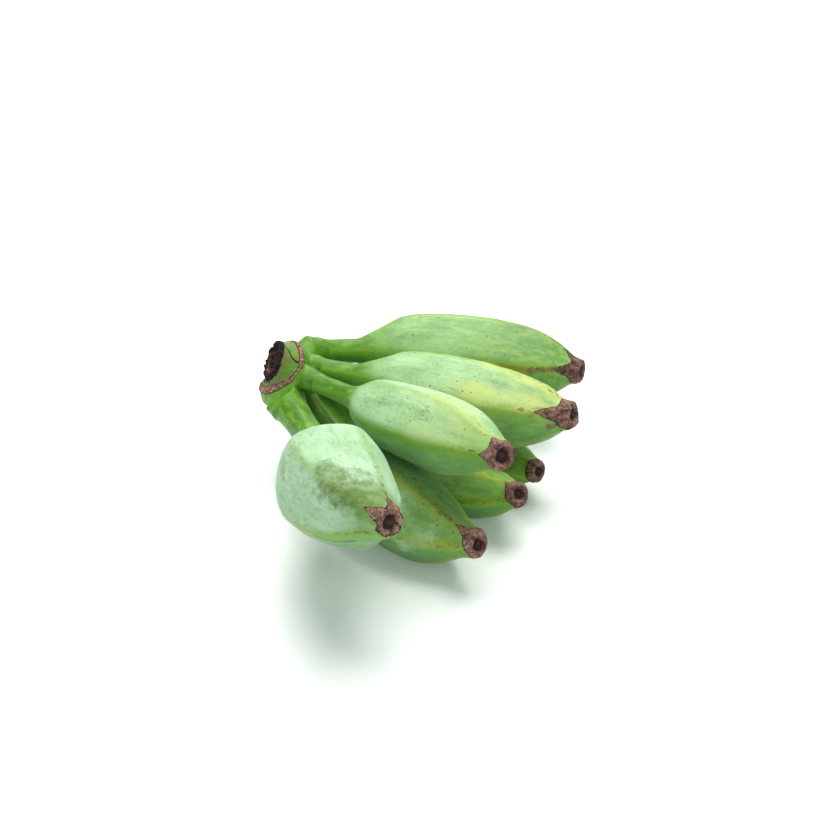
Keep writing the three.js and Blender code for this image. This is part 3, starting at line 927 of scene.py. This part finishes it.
def scar_ring(s, where):
    """Where the brown scar ring is, and its colour with dark edges."""
    ragged = s.plus(s.attribute("ring"), s.times(s.plus(s.noise(where, 1.1, 3, 0.6), -0.5), 1.1))
    brown = s.mix(s.ease(s.noise(where, 1.3, 4, 0.7), 0.4, 0.64), CORK_MID, CORK_PALE)
    return s.ease(ragged, -0.1, 0.15), s.mix(s.ease(ragged, 0.55, 0.15), brown, CORK_DARK)


def dried_cut(s, where):
    """Where the torn cut is, and its dark colour with paler fibres deep in it."""
    cut = s.attribute("cut")
    torn = s.plus(cut, s.times(s.plus(s.noise(where, 1.5, 4, 0.7), -0.5), 1.6))
    dried = s.mix(s.ease(s.noise(where, 1.7, 4, 0.7), 0.5, 0.7), CUT_DARK, CUT_BROWN)
    fibres = s.ease(s.noise(where, 3, 3, 0.6), 0.5, 0.6)
    return s.ease(torn, -0.5, 0.0), s.mix(s.times(fibres, s.ease(cut, 2, 4), 0.7), dried, CUT_PALE)


def crown_material():
    """Green stem tissue with a brown scar ring, stained stub and dried dark cut."""
    s = Shader("crown_stem")
    where = s.place()
    is_ring, brown = scar_ring(s, where)
    is_cut, dried = dried_cut(s, where)
    colour = s.mix(is_ring, stem_colour(s, where), brown)
    colour = s.mix(is_cut, colour, dried)
    cork = s.maths("MAXIMUM", is_ring, is_cut)
    rough = s.ease(cork, 0, 1, 0.42, 0.85)
    relief = s.plus(s.times(s.noise(where, 0.8, 4, 0.65), s.ease(cork, 0, 1, 0.12, 1)),
                    s.times(s.noise(where, 3, 3), 0.2))
    return s.finish(colour, rough, relief, 0.4)


# The photograph's view: the camera looks level along +Y, from above.
CAMERA_TARGET = Vector((-7.5, 35.9, 40)) * MM
CAMERA_DISTANCE = 520 * MM
CAMERA_ELEVATION = math.radians(28)
FOCAL_PIXELS = 1040
FRAME_PIXELS = 823
SENSOR = 36


def make_camera():
    """The camera, with the photograph's angle and framing."""
    data = bpy.data.cameras.new("camera")
    data.sensor_width = SENSOR
    data.lens = SENSOR * FOCAL_PIXELS / FRAME_PIXELS
    camera = bpy.data.objects.new("camera", data)
    back = Vector((0, -math.cos(CAMERA_ELEVATION), math.sin(CAMERA_ELEVATION)))
    camera.location = CAMERA_TARGET + back * CAMERA_DISTANCE
    camera.rotation_mode = "QUATERNION"
    camera.rotation_quaternion = (-back).to_track_quat("-Z", "Y")
    bpy.context.scene.collection.objects.link(camera)
    bpy.context.scene.camera = camera


FLOOR_HALF = 6.0  # metres
FLOOR_TONES = ((0.91, 0.92, 0.92, 1), (0.93, 0.94, 0.94, 1))
FLOOR_PAINTED_GLOW = (0.86, 1.0, 0.97, 1)  # the floor glows a little of itself: painted light that lightens and tints its shadows
FLOOR_PAINTED_GLOW_STRENGTH = 0.1


def make_floor():
    """A plain pale floor that glows a little, painted light that lightens its shadows."""
    half = FLOOR_HALF
    corners = [(-half, -half, 0), (half, -half, 0), (half, half, 0), (-half, half, 0)]
    mesh = bpy.data.meshes.new("floor")
    mesh.from_pydata(corners, [], [(0, 1, 2, 3)])
    floor = bpy.data.objects.new("floor", mesh)
    bpy.context.scene.collection.objects.link(floor)
    s = Shader("floor_paper")
    tone = s.mix(s.noise(s.place(), 60, 2), *FLOOR_TONES)
    # Painted light: the floor's own faint teal glow, which lifts its shadows.
    s.surface.inputs["Emission Color"].default_value = FLOOR_PAINTED_GLOW
    s.surface.inputs["Emission Strength"].default_value = FLOOR_PAINTED_GLOW_STRENGTH
    floor.data.materials.append(s.finish(tone, 0.9, s.noise(s.place(), 0.8, 2), 0.02))


# Lights, in metres: (name, place, aim, size, power in watts, colour).
LIGHTS = [
    ("key", (0.08, 0.22, 1.4), (0, 0, 0.04), 1.2, 24, (1.0, 0.99, 0.96)),
    ("front", (-0.5, -1.2, 1.3), (0, 0, 0.04), 1.2, 4, (0.97, 0.99, 1.0)),
    ("backdrop", (0, 2.2, 1.5), (0, 2.5, 0), 1.8, 60, (1.0, 1.0, 1.0)),
]
WORLD_LIGHT = 0.38
WORLD_TINT = (0.93, 1.0, 0.99, 1)


def make_lights():
    """Soft lights overhead and in front, and an even pale world."""
    for name, place, aim, size, power, tint in LIGHTS:
        data = bpy.data.lights.new(name, "AREA")
        data.shape = "DISK"
        data.size = size
        data.energy = power
        data.color = tint
        light = bpy.data.objects.new(name, data)
        light.location = place
        light.rotation_mode = "QUATERNION"
        light.rotation_quaternion = (Vector(aim) - light.location).to_track_quat("-Z", "Y")
        bpy.context.scene.collection.objects.link(light)
    world = bpy.data.worlds.new("studio")
    world.use_nodes = True
    background = world.node_tree.nodes["Background"]
    background.inputs["Color"].default_value = WORLD_TINT
    background.inputs["Strength"].default_value = WORLD_LIGHT
    bpy.context.scene.world = world
    bpy.context.scene.view_settings.view_transform = "Standard"


make_camera()
make_lights()
make_floor()
make_fingers()
make_crown()

bpy.context.view_layer.update()
